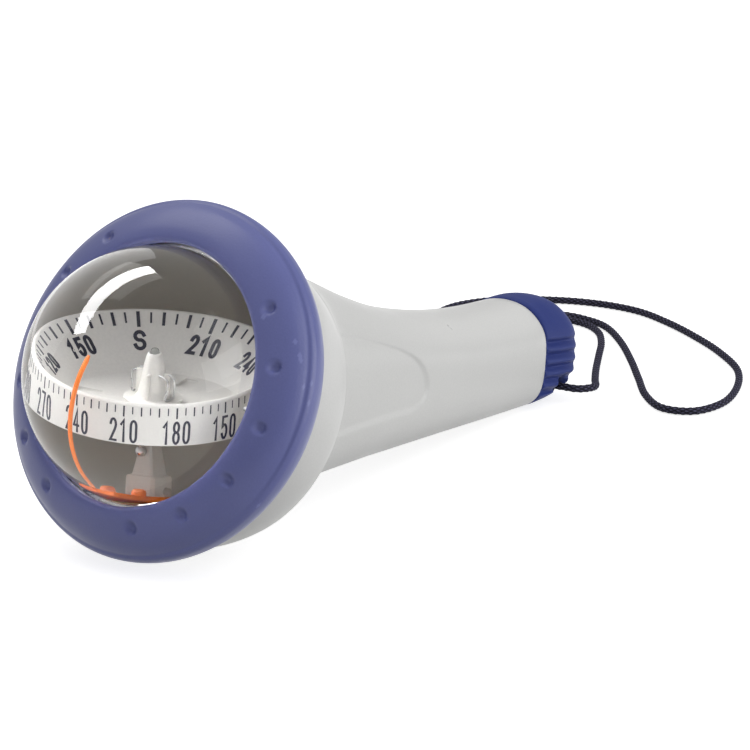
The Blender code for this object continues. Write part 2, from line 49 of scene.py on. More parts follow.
# Ring and its place in the row frame
RING = Vector((-62.461, 0.0, 40.890))
HEAD_TILT = 25.7                # ring axis above the horizontal, degrees
RING_INNER_R = 30.6
RING_SIDES = 480
DIMPLES = 16
PLAIN_PLACES = (0, 7, 14, 15)   # where the ring is left smooth
DIMPLE_CENTRE_R = 35.2
DIMPLE_DEPTH = 1.15

# Fluid capsule, measured from its own centre
CAPSULE_S = 4.05                # capsule centre along the ring axis
CAPSULE_TURN = -6.6
CAPSULE_R = 29.87
CAPSULE_INNER_R = 28.0
FLANGE_R = 33.4
PORT_R = 8.0
CAPSULE_SIDES = 144

# Compass card, measured from the capsule centre along the needle
CARD_R = 20.5
CARD_TOP = 1.7
CARD_SKIRT = -7.2
CARD_FLOOR = -4.4
CARD_FLOOR_R = 13.6
CARD_WALL = 0.8
TOP_SCALE_TURN = 228            # degrees that the top scale's north stands round from the card's x axis
SKIRT_SCALE_TURN = 55
MARK_LIFT = 0.05                # ink stands this far above the card and is sunk MARK_SINK into it
MARK_SINK = 0.12

# Grip, its cap and the cord
GRIP_DROP = 3.9
GRIP_SLOPE = 9.8
GRIP_END = 140.0
GRIP_SIDES = 224
CAP_LENGTH = 19.0
CAP_ROWS = 72
WALL = 2.5
EYELET = (151.0, -7.4)
EYELET_R = 1.9
RIB_PITCH = 3.2
RIBS_LOW = -9.0
RIBS_HIGH = 6.5
CORD_R = 1.0
CORD_LIFT = 0.08
KNOT = (211.4, 36.2)


# ---------------------------------------------------------------- places

def turn(degrees, axis):
    return Matrix.Rotation(math.radians(degrees), 4, axis)


TILT = math.radians(HEAD_TILT)
AXIS = Vector((-math.cos(TILT), 0.0, math.sin(TILT)))
RISE = Vector((math.sin(TILT), 0.0, math.cos(TILT)))
COMPASS = Matrix.Translation(RING)
HEAD_TURN = Matrix((RISE, (0.0, 1.0, 0.0), AXIS)).transposed().to_4x4()
HEAD = COMPASS @ HEAD_TURN
CAPSULE = HEAD @ Matrix.Translation((0.0, 0.0, CAPSULE_S)) @ turn(CAPSULE_TURN, "Z")
AXLE = (HEAD_TURN @ turn(CAPSULE_TURN, "Z")).col[1].to_3d()
PLUMB = (Vector((0.0, 0.0, 1.0)) - AXLE * AXLE.z).normalized()
HANG = Matrix((AXLE.cross(PLUMB), AXLE, PLUMB)).transposed().to_4x4()
GIMBAL = Matrix.Translation(RING + AXIS * CAPSULE_S) @ HANG


# ---------------------------------------------------------------- camera

CAMERA_ANGLES = (-54.22, 16.5, 1.0)     # azimuth, elevation and roll, degrees
CAMERA_DISTANCE = 800.0
CAMERA_OFFSET = (47.89, 1.21)           # sideways and upward, from the ring centre
LENS = 169.03
SENSOR = 36.0


def make_camera():
    azimuth, elevation, roll = (math.radians(angle) for angle in CAMERA_ANGLES)
    back = Vector((math.sin(azimuth) * math.cos(elevation), -math.cos(azimuth) * math.cos(elevation),
                   math.sin(elevation)))
    right = Vector((math.cos(azimuth), math.sin(azimuth), 0.0))
    up = back.cross(right)
    across = right * math.cos(roll) - up * math.sin(roll)
    upward = up * math.cos(roll) + right * math.sin(roll)
    place = RING + back * CAMERA_DISTANCE + across * CAMERA_OFFSET[0] + upward * CAMERA_OFFSET[1]
    camera = bpy.data.objects.new("camera", bpy.data.cameras.new("camera"))
    bpy.context.collection.objects.link(camera)
    facing = Matrix((across, upward, back)).transposed().to_4x4()
    camera.matrix_world = Matrix.Translation(place * MM) @ facing
    camera.data.sensor_width = SENSOR
    camera.data.lens = LENS
    camera.data.clip_start = 0.05
    bpy.context.scene.camera = camera
    return across, upward, back


# ---------------------------------------------------------------- mesh helpers

def smoothstep(low, high, value):
    t = min(1.0, max(0.0, (value - low) / (high - low)))
    return t * t * (3 - 2 * t)


def spline_value(values, u):
    """A smooth curve through evenly spaced values, read at u from 0 to len(values) - 1."""
    i = min(int(u), len(values) - 2)
    f = u - i
    before = values[i - 1] if i else 2 * values[0] - values[1]
    after = values[i + 2] if i + 2 < len(values) else 2 * values[-1] - values[-2]
    a, b = values[i], values[i + 1]
    return 0.5 * (2 * a + (b - before) * f + (2 * before - 5 * a + 4 * b - after) * f ** 2
                  + (3 * a - before - 3 * b + after) * f ** 3)


def smooth_line(points, per_span):
    """Points on the smooth curve through (x, y) points."""
    points = [Vector(p) for p in points]
    return [spline_value(points, i / per_span) for i in range(per_span * (len(points) - 1) + 1)]


def smooth_route(route, spacing):
    """Evenly spaced points on the smooth curve through a route."""
    fine = smooth_line(route, 20)
    travelled = [0.0]
    for a, b in zip(fine, fine[1:]):
        travelled.append(travelled[-1] + (b - a).length)
    count = round(travelled[-1] / spacing)
    out = []
    j = 0
    for k in range(count + 1):
        goal = travelled[-1] * k / count
        while j < len(fine) - 2 and travelled[j + 1] < goal:
            j += 1
        share = (goal - travelled[j]) / (travelled[j + 1] - travelled[j])
        out.append(fine[j].lerp(fine[j + 1], share))
    return out, travelled[-1]


def piece(name, bm, place, finish, body, sharp=35.0):
    """Makes a piece from a bmesh in millimetres, places it in the row frame and rides it on its body."""
    bmesh.ops.transform(bm, matrix=Matrix.Scale(MM, 4) @ place, verts=bm.verts)
    bmesh.ops.recalc_face_normals(bm, faces=bm.faces)
    mesh = bpy.data.meshes.new(name)
    bm.to_mesh(mesh)
    bm.free()
    mesh.materials.append(finish)
    mesh.shade_smooth()
    mesh.set_sharp_from_angle(angle=math.radians(sharp))
    made = bpy.data.objects.new(name, mesh)
    bpy.context.collection.objects.link(made)
    if body:
        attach(made, body)
    return made


def skin(bm, loops, ends):
    """Skin loops of points. ends: 'joined' wraps the last loop to the first, 'capped' closes each end."""
    rows = [[bm.verts.new(point) for point in loop] for loop in loops]
    pairs = list(zip(rows, rows[1:]))
    if ends == "joined":
        pairs.append((rows[-1], rows[0]))
    for low, high in pairs:
        for i in range(len(low)):
            j = (i + 1) % len(low)
            bm.faces.new((low[i], low[j], high[j], high[i]))
    if ends == "capped":
        bm.faces.new(rows[0][::-1])
        bm.faces.new(rows[-1])
    return bm


def ring_of(radius, z, sides):
    return [(radius * math.cos(TAU * i / sides), radius * math.sin(TAU * i / sides), z) for i in range(sides)]


def turned(profile, sides=96, ends="joined"):
    """A solid of revolution about Z from (radius, height) points."""
    return skin(bmesh.new(), [ring_of(r, z, sides) for r, z in profile], ends)


def softened(profile, size):
    """Rounds every corner of a closed (radius, height) outline."""
    out = []
    count = len(profile)
    for i, corner in enumerate(profile):
        corner = Vector(corner)
        for other, order in ((profile[i - 1], 0), (profile[(i + 1) % count], 1)):
            edge = Vector(other) - corner
            near = corner + edge.normalized() * min(size, edge.length * 0.4)
            if order:
                out.append((corner * 0.5 + (out[-1] + near) * 0.25))
            out.append(near)
    return out


def cutter(bm, place):
    made = piece("cutter", bm, place, bpy.data.materials.new("cutter"), None)
    return made


def cut(target, tool):
    """Cuts tool out of target for good and removes it."""
    modifier = target.modifiers.new("cut", "BOOLEAN")
    modifier.operation = "DIFFERENCE"
    modifier.solver = "EXACT"
    modifier.object = tool
    graph = bpy.context.evaluated_depsgraph_get()
    mesh = bpy.data.meshes.new_from_object(target.evaluated_get(graph))
    target.modifiers.clear()
    target.data = mesh
    while len(mesh.materials) > 1:
        mesh.materials.pop()
    mesh.shade_smooth()
    mesh.set_sharp_from_angle(angle=math.radians(35.0))
    bpy.data.objects.remove(tool, do_unlink=True)


def box_bm(size, bevel=0.0, segments=3):
    bm = bmesh.new()
    bmesh.ops.create_cube(bm, size=1.0)
    bmesh.ops.scale(bm, vec=size, verts=bm.verts)
    if bevel:
        bmesh.ops.bevel(bm, geom=bm.edges[:], offset=bevel, segments=segments, affect="EDGES", profile=0.5)
    return bm


def sweep(path, outline, first_side=None):
    """Loops of points: an outline of (across, up) carried along a path without twisting.

    first_side points across the path's start, where that matters.
    """
    loops = []
    side = None
    for i, point in enumerate(path):
        along = (path[min(i + 1, len(path) - 1)] - path[max(i - 1, 0)]).normalized()
        if side is None:
            side = along.orthogonal().normalized() if first_side is None else first_side
        side = (side - along * side.dot(along)).normalized()
        up = along.cross(side)
        loops.append([point + side * a + up * b for a, b in outline(i)])
    return loops


def round_outline(radius, sides):
    return [(radius * math.cos(TAU * k / sides), radius * math.sin(TAU * k / sides)) for k in range(sides)]


# ---------------------------------------------------------------- materials

class Finish:
    """A node material with helpers for layered procedural detail."""

    def __init__(self, name, color, roughness, metallic=0.0, **sockets):
        self.material = bpy.data.materials.new(name)
        self.material.use_nodes = True
        self.nodes = self.material.node_tree.nodes
        self.links = self.material.node_tree.links
        self.shader = self.nodes["Principled BSDF"]
        self.shader.inputs["Base Color"].default_value = (*color, 1.0)
        self.shader.inputs["Roughness"].default_value = roughness
        self.shader.inputs["Metallic"].default_value = metallic
        for key, value in sockets.items():
            self.shader.inputs[key.replace("_", " ")].default_value = value
        self.where = self.nodes.new("ShaderNodeTexCoord").outputs["Object"]
        self.height = None

    def noise(self, scale, detail=4.0, stretch=(1.0, 1.0, 1.0)):
        mapping = self.nodes.new("ShaderNodeMapping")
        mapping.inputs["Scale"].default_value = stretch
        self.links.new(self.where, mapping.inputs["Vector"])
        made = self.nodes.new("ShaderNodeTexNoise")
        made.inputs["Scale"].default_value = scale
        made.inputs["Detail"].default_value = detail
        self.links.new(mapping.outputs["Vector"], made.inputs["Vector"])
        return made.outputs["Fac"]

    def ramp(self, value, stops):
        made = self.nodes.new("ShaderNodeValToRGB")
        elements = made.color_ramp.elements
        while len(elements) < len(stops):
            elements.new(0.5)
        for element, (position, color) in zip(elements, stops):
            element.position = position
            element.color = (*color, 1.0)
        self.links.new(value, made.inputs["Fac"])
        return made.outputs["Color"]

    def number_ramp(self, value, low, high, start=0.3, end=0.7):
        return self.ramp(value, [(start, (low,) * 3), (end, (high,) * 3)])

    def mix(self, kind, amount, a, b):
        made = self.nodes.new("ShaderNodeMix")
        made.data_type = "RGBA"
        made.blend_type = kind
        if isinstance(amount, float):
            made.inputs["Factor"].default_value = amount
        else:
            self.links.new(amount, made.inputs["Factor"])
        for socket, value in ((made.inputs["A"], a), (made.inputs["B"], b)):
            if isinstance(value, tuple):
                socket.default_value = (*value, 1.0)
            else:
                self.links.new(value, socket)
        return made.outputs["Result"]

    def lifted(self, low, high):
        """0 to 1 as the height above the table goes from low to high, in metres."""
        split = self.nodes.new("ShaderNodeSeparateXYZ")
        made = self.nodes.new("ShaderNodeMapRange")
        made.inputs["From Min"].default_value = low
        made.inputs["From Max"].default_value = high
        self.links.new(self.where, split.inputs["Vector"])
        self.links.new(split.outputs["Z"], made.inputs["Value"])
        return made.outputs["Result"]

    def color(self, socket):
        self.links.new(socket, self.shader.inputs["Base Color"])

    def roughness(self, socket):
        self.links.new(socket, self.shader.inputs["Roughness"])

    def bump(self, socket, distance, strength=1.0):
        made = self.nodes.new("ShaderNodeBump")
        made.inputs["Distance"].default_value = distance
        made.inputs["Strength"].default_value = strength
        self.links.new(socket, made.inputs["Height"])
        if self.height is not None:
            self.links.new(self.height, made.inputs["Normal"])
        self.height = made.outputs["Normal"]
        self.links.new(self.height, self.shader.inputs["Normal"])

    def edge_wear(self, base, highlight, low, high):
        """Paints a highlight on convex edges, lighter where the surface is more pointed."""
        geometry = self.nodes.new("ShaderNodeNewGeometry")
        mask = self.number_ramp(geometry.outputs["Pointiness"], 0.0, 1.0, low, high)
        return self.mix("MIX", mask, base, highlight)

    def see_through(self):
        """Lets light pass to what lies inside."""
        path = self.nodes.new("ShaderNodeLightPath")
        clear = self.nodes.new("ShaderNodeBsdfTransparent")
        mix = self.nodes.new("ShaderNodeMixShader")
        output = self.nodes["Material Output"]
        self.links.new(path.outputs["Is Shadow Ray"], mix.inputs["Fac"])
        self.links.new(self.shader.outputs["BSDF"], mix.inputs[1])
        self.links.new(clear.outputs["BSDF"], mix.inputs[2])
        self.links.new(mix.outputs["Shader"], output.inputs["Surface"])


def shade(color, factor):
    return tuple(min(1.0, c * factor) for c in color)


def moulded(name, color, roughness, grain=900.0, depth=0.00003, drift=0.06, wear=None, **sockets):
    """Moulded plastic or rubber: slow colour drift, fine grain, uneven gloss and a painted highlight on
    convex edges.
    """
    made = Finish(name, color, roughness, **sockets)
    base = made.ramp(made.noise(28.0, 3.0), [(0.3, shade(color, 1 - drift)), (0.7, shade(color, 1 + drift))])
    speck = made.ramp(made.noise(2600.0, 2.0), [(0.35, shade(color, 0.93)), (0.65, shade(color, 1.06))])
    tone = made.mix("MIX", 0.35, base, speck)
    # Painted highlight: convex edges are lightened towards the given colour.
    if wear:
        tone = made.edge_wear(tone, wear, 0.53, 0.62)
    made.color(tone)
    made.roughness(made.number_ramp(made.noise(70.0, 5.0), roughness - 0.05, roughness + 0.07))
    made.bump(made.noise(grain, 3.0), depth)
    return made.material


def bowl_finish():
    """Warm grey bowl, paler towards its floor: painted light on its lower part and painted shade on its upper
    part, graded by height.
    """
    made = Finish("capsule grey", (0.72, 0.69, 0.62), 0.6)
    drift = made.ramp(made.noise(28.0, 3.0), [(0.3, (0.68, 0.65, 0.585)), (0.7, (0.77, 0.74, 0.665))])
    # Painted light and shade: full colour low in the bowl, falling to about a quarter of it higher up.
    fade = made.ramp(made.lifted(0.016, 0.066), [(0.0, (1.0, 1.0, 1.0)), (0.45, (0.66, 0.65, 0.64)),
                                                 (1.0, (0.24, 0.232, 0.225))])
    made.color(made.mix("MULTIPLY", 1.0, drift, fade))
    made.roughness(made.number_ramp(made.noise(70.0, 5.0), 0.52, 0.68))
    made.bump(made.noise(700.0, 3.0), 0.00003)
    return made.material


def brushed(name, color, roughness):
    made = Finish(name, color, roughness, 1.0)
    made.color(made.ramp(made.noise(300.0, 4.0), [(0.3, shade(color, 0.85)), (0.7, shade(color, 1.1))]))
    streaks = made.noise(900.0, 2.0, (1.0, 0.1, 1.0))
    made.roughness(made.number_ramp(streaks, roughness - 0.08, roughness + 0.1))
    made.bump(made.noise(1500.0, 2.0, (1.0, 0.08, 1.0)), 0.000006)
    return made.material


def clear_finish(name, color, ior, roughness=0.0):
    made = Finish(name, color, roughness, Transmission_Weight=1.0, IOR=ior)
    made.roughness(made.number_ramp(made.noise(60.0, 4.0), roughness, roughness + 0.012, 0.4, 0.8))
    made.see_through()
    return made.material


def cord_finish():
    """Braided cord: dark yarn with a blue cast, with painted shade in the gaps between strands and painted
    light on their raised crowns, and hairy up close.
    """
    made = Finish("braided cord", (0.03, 0.03, 0.05), 0.8, Specular_IOR_Level=0.2)
    raised = made.nodes.new("ShaderNodeAttribute")
    raised.attribute_name = "raised"
    # The yarn's dark blue colour, with painted shade in the gaps and painted light on the crowns, read from
    # the raised attribute.
    yarn_and_gap_shade = made.ramp(raised.outputs["Fac"], [(0.3, (0.002, 0.002, 0.004)), (0.65, (0.022, 0.021, 0.040)),
                                             (0.95, (0.095, 0.090, 0.150))])
    thread = made.ramp(made.noise(5200.0, 2.0), [(0.35, (0.6, 0.6, 0.6)), (0.65, (1.25, 1.25, 1.3))])
    made.color(made.mix("MULTIPLY", 1.0, yarn_and_gap_shade, thread))
    made.roughness(made.number_ramp(made.noise(1500.0, 2.0), 0.62, 0.85))
    made.bump(made.noise(6000.0, 2.0), 0.00003)
    return made.material


def make_finishes():
    # The last colour given to ring, cap and shell is a painted highlight for their convex edges: rim, ribs
    # and crease.
    ring = moulded("soft blue ring", (0.112, 0.128, 0.335), 0.36, 1600.0, 0.00003, 0.08, (0.160, 0.18, 0.42))
    cap = moulded("ribbed blue cap", (0.015, 0.030, 0.170), 0.55, 1500.0, 0.00003, 0.08, (0.045, 0.075, 0.30),
                   Specular_IOR_Level=0.3)
    shell = moulded("light grey shell", (0.62, 0.62, 0.605), 0.32, 1300.0, 0.00002, 0.025, (0.70, 0.70, 0.70))
    return {
        "ring": ring, "cap": cap, "shell": shell,
        "bowl": bowl_finish(),
        "rubber": moulded("black rubber", (0.02, 0.02, 0.022), 0.7, 900.0, 0.00004, 0.15),
        "steel": brushed("steel", (0.62, 0.62, 0.63), 0.28),
        "brass": brushed("brass", (0.70, 0.52, 0.25), 0.32),
        "orange": moulded("orange plastic", (0.95, 0.22, 0.02), 0.38, 800.0, 0.00002, 0.05),
        "card": moulded("white card", (0.74, 0.725, 0.70), 0.5, 1100.0, 0.00001, 0.02),
        "ink": moulded("navy ink", (0.012, 0.011, 0.032), 0.45, 1500.0, 0.00001, 0.15),
        "board": moulded("lamp board", (0.03, 0.20, 0.08), 0.35, 900.0, 0.00002, 0.12),
        "red": moulded("red lamp", (0.55, 0.02, 0.02), 0.12, 500.0, 0.00001, 0.06),
        "cell": moulded("cell sleeve", (0.06, 0.06, 0.08), 0.3, 600.0, 0.00001, 0.1),
        "fluid": clear_finish("clear dome and fluid", (0.985, 0.985, 0.975), 1.38),
        "yoke": clear_finish("clear yoke", (0.96, 0.965, 0.96), 1.05),
        "stand": moulded("frosted stand", (0.80, 0.78, 0.74), 0.3, 500.0, 0.00003, 0.08,
                         Transmission_Weight=0.4, IOR=1.08),
        "jewel": clear_finish("jewel", (0.9, 0.92, 0.92), 1.2),
        "cord": cord_finish(),
    }


# ---------------------------------------------------------------- lanyard

def braid(path, sides, name, finish, body, strands=3, lay=1.9, width=1.0):
    """A mesh tube along a path with the woven strands of a round braid."""
    heights = []
    travelled = 0.0
    rows = []
    for i, point in enumerate(path):
        if i:
            travelled += (point - path[i - 1]).length
        row = []
        for k in range(sides):
            angle = TAU * k / sides
            p = (strands * angle + travelled * TAU / lay / 2) / math.pi
            q = (strands * angle - travelled * TAU / lay / 2) / math.pi
            fp, fq = p - math.floor(p), q - math.floor(q)
            over, along = (fq, fp) if (math.floor(p) + math.floor(q)) % 2 else (fp, fq)
            row.append(math.sin(math.pi * over) ** 0.7 * (0.62 + 0.38 * math.sin(math.pi * along)))
        rows.append(row)
        heights.extend(row)
    def outline(i):
        radii = [width * (0.74 + 0.30 * h) for h in rows[i]]
        return [(r * math.cos(TAU * k / sides), r * math.sin(TAU * k / sides)) for k, r in enumerate(radii)]
    bm = skin(bmesh.new(), sweep(path, outline), "capped")
    made = piece(name, bm, Matrix(), finish, body, 80.0)
    attribute = made.data.attributes.new("raised", "FLOAT", "POINT")
    attribute.data.foreach_set("value", heights)
    return made


def grip_point(t, z):
    """(x, z) of the point z above the grip axis at t along it, from the ring centre."""
    slope = math.radians(GRIP_SLOPE)
    return (t * math.cos(slope) + z * math.sin(slope), -GRIP_DROP - t * math.sin(slope) + z * math.cos(slope))


def make_lanyard(finish):
    """The wrist loop from its knot round the table, through the eyelet and back, and the knot."""
    eye_x, eye_z = grip_point(*EYELET)
    table = -RING.z + CORD_R + CORD_LIFT
    kx, ky = KNOT
    route = [(kx + 1.7, ky - 4.4, table + 0.7), (215.2, 24.5, table), (211.5, 14, table), (201, 2.5, table),
             (187, -9.5, table), (173, -20.5, table), (161, -30, table), (153.5, -39.5, table),
             (155.5, -48, table), (166, -50.5, table), (180, -46.5, table), (194, -38.5, table),
             (206, -26, table), (215.5, -13, table), (224, 1, table), (230, 15, table), (230.5, 30, table),
             (226, 44, table), (218, 55.5, table), (207, 61.5, table), (195, 60.5, table), (184, 54, table),
             (175, 44, table), (166.5, 33, table + 0.1), (158.5, 24.5, table + 0.9),
             (eye_x + 3.3, 17.4, eye_z - 0.5), (eye_x, 11.6, eye_z), (eye_x, 2.5, eye_z),
             (eye_x, -6.5, eye_z), (eye_x + 0.1, -12.6, eye_z), (148.9, -16.7, eye_z - 0.3),
             (152.6, -18.4, eye_z - 0.7),
             (157.2, -17, table + 1.5), (164, -12.6, table + 0.6), (174, -6.6, table + 0.1), (186, 0, table),
             (197.2, 6.2, table), (205.8, 12.8, table), (211, 21.2, table), (kx - 1.7, ky - 4.4, table + 0.7)]
    path, length = smooth_route([Vector(p) + RING for p in route], 0.25)
    cord = braid(path, 28, "braided_lanyard", finish, "cap")
    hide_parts("lanyard_cord")
    centre = Vector((kx, ky, 1.95 - RING.z)) + RING
    wraps = []
    for i in range(240):
        t = TAU * i / 240
        wraps.append(centre + Vector((0.88 * (math.sin(t) + 2 * math.sin(2 * t)),
                                      1.05 * (math.cos(t) - 2 * math.cos(2 * t)), -0.95 * math.sin(3 * t))))
    knot = braid(wraps + wraps[:2], 24, "braided_knot", finish, "cap", width=0.98)
    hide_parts("lanyard_knot")


# ---------------------------------------------------------------- shell of the grip

def unit_section(count):
    """The grip's outline scaled to +-1: flat flanks, a shoulder at each side and an arched top."""
    half = [(0.50, 0.98), (0.86, 0.70), (0.99, 0.46), (1.02, 0.20), (1.03, -0.30), (0.97, -0.74),
            (0.62, -1.03)]
    control = [(0.0, 1.06)] + half + [(0.0, -1.09)] + [(-y, z) for y, z in reversed(half)]
    size = len(control)
    points = []
    for k in range(count):
        u = k * size / count
        i = int(u)
        f = u - i
        weights = ((1 - f) ** 3 / 6, (3 * f ** 3 - 6 * f ** 2 + 4) / 6,
                   (-3 * f ** 3 + 3 * f ** 2 + 3 * f + 1) / 6, f ** 3 / 6)
        corners = [control[(i + j - 1) % size] for j in range(4)]
        points.append(tuple(sum(w * c[axis] for w, c in zip(weights, corners)) for axis in (0, 1)))
    widest = max(y for y, _ in points)
    highest = max(z for _, z in points)
    lowest = min(z for _, z in points)
    return [(y / widest, z / (highest if z > 0 else -lowest)) for y, z in points]


SECTIONS = {}


def section_loop(top, bottom, half_width, roundness, waist, inset=0.0, count=160):
    """A closed outline through its top and bottom points (x, z), lying across the X-Z plane."""
    unit = SECTIONS.setdefault(count, unit_section(count))
    top = Vector((top[0], 0.0, top[1]))
    bottom = Vector((bottom[0], 0.0, bottom[1]))
    up = (top - bottom).normalized()
    height = (top - bottom).length
    middle = bottom + up * height * waist
    above = height * (1 - waist) - inset
    below = height * waist - inset
    loop = []
    for y, z in unit:
        angle = math.atan2(z, y)
        y = y + (math.cos(angle) - y) * roundness
        z = z + (math.sin(angle) - z) * roundness
        across = Vector((0.0, y * (half_width - inset), 0.0))
        loop.append(middle + across + up * z * (above if z > 0 else below))
    return loop


def head_point(s, r):
    return (-s * math.cos(TILT) + r * math.sin(TILT), s * math.sin(TILT) + r * math.cos(TILT))


BELL = [(*head_point(s, r), *head_point(s, -r), r, 1.0, 0.5) for s, r in (
    (3.0, 37.8), (-5.0, 37.8), (-12.0, 37.1), (-18.0, 35.9), (-22.5, 34.4))]
NECK = [(37.0, 20.4, 8.2, -40.4, 32.9, 0.9, 0.5), (39.3, 18.9, 12.4, -38.3, 29.0, 0.7, 0.49),
        (43.3, 16.7, 18.2, -35.2, 24.6, 0.4, 0.47), (49.0, 13.8, 26.5, -33.0, 21.6, 0.15, 0.45)]
GRIP = [(*grip_point(t, above), *grip_point(t, -below), half, 0.0, below / (above + below))
        for t, above, below, half in (
            (60.0, 20.9, 20.5, 19.4), (76.0, 16.9, 19.1, 18.0), (92.0, 14.6, 17.7, 16.8),
            (108.0, 13.4, 16.3, 15.8), (124.0, 13.4, 14.9, 14.9), (GRIP_END, 14.6, 13.3, 14.2))]
STATIONS = list(zip(*(BELL + NECK + GRIP)))

# Outline of the sunk panel on each flank, (along the grip axis, above it), open towards the bell
PANEL = [(18.0, 18.4), (34.0, 15.6), (47.2, 13.4), (56.0, 11.7), (64.6, 9.7), (70.5, 8.0), (75.6, 5.8),
         (78.8, 3.2), (80.6, 0.4), (80.9, -2.3), (79.1, -4.8), (75.2, -6.2), (65.7, -6.9), (53.2, -7.8),
         (40.9, -8.9), (18.0, -10.8)]
PANEL_DEPTH = 0.5
PANEL_EDGE = 0.5


def panel_line():
    line = smooth_line(PANEL, 6)
    return [(a, b) for a, b in zip(line, line[1:])]


def panel_sink(t, z, line):
    """How far the flank is sunk at a place, from 0 outside the panel to 1 inside."""
    if t > 84 or z > 20 or z < -12:
        return 0.0
    inside = False
    nearest = 1e9
    place = Vector((t, z))
    for a, b in line + [(line[-1][1], line[0][0])]:
        if (a.y > z) != (b.y > z) and t < (b.x - a.x) * (z - a.y) / (b.y - a.y) + a.x:
            inside = not inside
    for a, b in line:
        edge = b - a
        share = min(1.0, max(0.0, (place - a).dot(edge) / edge.length_squared))
        nearest = min(nearest, (place - a - edge * share).length)
    return smoothstep(-PANEL_EDGE, PANEL_EDGE, nearest if inside else -nearest)


def make_shell(finish):
    last = len(BELL + NECK + GRIP) - 1
    slope = math.radians(GRIP_SLOPE)
    line = panel_line()
    steps = [i * 0.08 for i in range(int(7.6 / 0.08))]
    steps += [7.6 + i * 0.04 for i in range(int((10.4 - 7.6) / 0.04))]
    steps += [10.4 + i * 0.1 for i in range(int((last - 10.4) / 0.1))]
    outer = []
    for u in steps + [last - 0.04, last]:
        values = [spline_value(column, u) for column in STATIONS]
        inset = 0.35 if u == last else 0.0
        loop = section_loop(values[0:2], values[2:4], values[4], values[5], values[6], inset, GRIP_SIDES)
        fade = 1 - smoothstep(24.0, 31.0, values[4])
        for point in loop:
            if abs(point.y) > 0.6 * values[4] and fade > 0:
                t = point.x * math.cos(slope) - (point.z + GRIP_DROP) * math.sin(slope)
                z = point.x * math.sin(slope) + (point.z + GRIP_DROP) * math.cos(slope)
                point.y -= math.copysign(PANEL_DEPTH * fade * panel_sink(t, z, line), point.y)
        outer.append(loop)
    inner = []
    for i in range(60):
        values = [spline_value(column, last * (1 - i / 59)) for column in STATIONS]
        inner.append(section_loop(values[0:2], values[2:4], values[4], values[5], values[6], WALL,
                                  GRIP_SIDES))
    shell = piece("grip_shell", skin(bmesh.new(), outer + inner, "joined"), COMPASS, finish, "housing")
    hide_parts("housing_grip")


# ---------------------------------------------------------------- soft ring

def make_ring(finish):
    """Soft ring round the window, with a row of thumb dimples."""
    face = smooth_line([(RING_INNER_R, 8.45), (31.1, 8.95), (32.0, 9.0), (33.6, 8.55), (35.2, 7.85),
                        (36.8, 6.95), (38.2, 5.95), (39.4, 4.8), (40.3, 3.6), (40.85, 2.7), (41.5, 2.15),
                        (41.95, 1.2), (42.0, 0.1), (41.85, -1.2), (41.45, -2.5), (40.7, -3.9), (39.7, -5.1),
                        (38.9, -5.55)], 5)
    back = [(38.3, -5.6), (38.3, 3.4), (35.1, 3.4), (35.1, 6.35), (30.75, 6.35), (RING_INNER_R, 6.5)]
    profile = [tuple(p) for p in face] + back
    step = TAU / DIMPLES
    loops = []
    for index, (r, z) in enumerate(profile):
        loop = []
        for i in range(RING_SIDES):
            angle = TAU * i / RING_SIDES
            off = (angle / step) % 1 - 0.5
            reach = math.hypot(r - DIMPLE_CENTRE_R, off * step * DIMPLE_CENTRE_R)
            dented = index < len(face) and int(angle / step) not in PLAIN_PLACES
            sink = DIMPLE_DEPTH * (1 - smoothstep(0.5, 1.8, reach)) if dented else 0.0
            loop.append((r * math.cos(angle), r * math.sin(angle), z - sink))
        loops.append(loop)
    ring = piece("soft_ring", skin(bmesh.new(), loops, "joined"), HEAD, finish, "housing")
    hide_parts("bezel_ring")


# ---------------------------------------------------------------- fluid capsule

def arc(radius, start, end, steps):
    angles = [math.radians(start + (end - start) * i / steps) for i in range(steps + 1)]
    return [(radius * math.cos(a), radius * math.sin(a)) for a in angles]


def make_capsule(finishes, shone_on):
    """Window and fluid as one clear solid, and the bowl behind them. shone_on collects the window."""
    dome = [(ON_AXIS, CAPSULE_R)] + arc(CAPSULE_R, 89, 3, 60)
    flange = [(CAPSULE_R - 0.05, 1.9), (FLANGE_R - 0.3, 1.9), (FLANGE_R, 1.6), (FLANGE_R, 1.0), (28.4, 0.9)]
    inside = arc(CAPSULE_INNER_R + 0.45, 0, -68, 40) + [(PORT_R + 0.4, -27.9), (ON_AXIS, -27.9)]
    clear = turned(dome + flange + inside, CAPSULE_SIDES, "capped")
    window = piece("dome_and_fluid", clear, CAPSULE, finishes["fluid"], "housing")
    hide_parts("dome_window")
    shone_on.objects.link(window)

    wall = ([(FLANGE_R, -0.9), (FLANGE_R, -3.1), (CAPSULE_R - 0.1, -3.1)] + arc(CAPSULE_R - 0.1, -8, -60, 16)
            + [(13.2, -27.2), (13.2, -30.6), (PORT_R, -30.6), (PORT_R, -26.83)]
            + arc(CAPSULE_INNER_R, -70, -2, 24) + [(CAPSULE_INNER_R, -0.9)])
    bowl = piece("capsule_bowl", turned(wall, CAPSULE_SIDES), CAPSULE, finishes["bowl"], "housing")
    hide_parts("rear_bowl")


# ---------------------------------------------------------------- gimbal

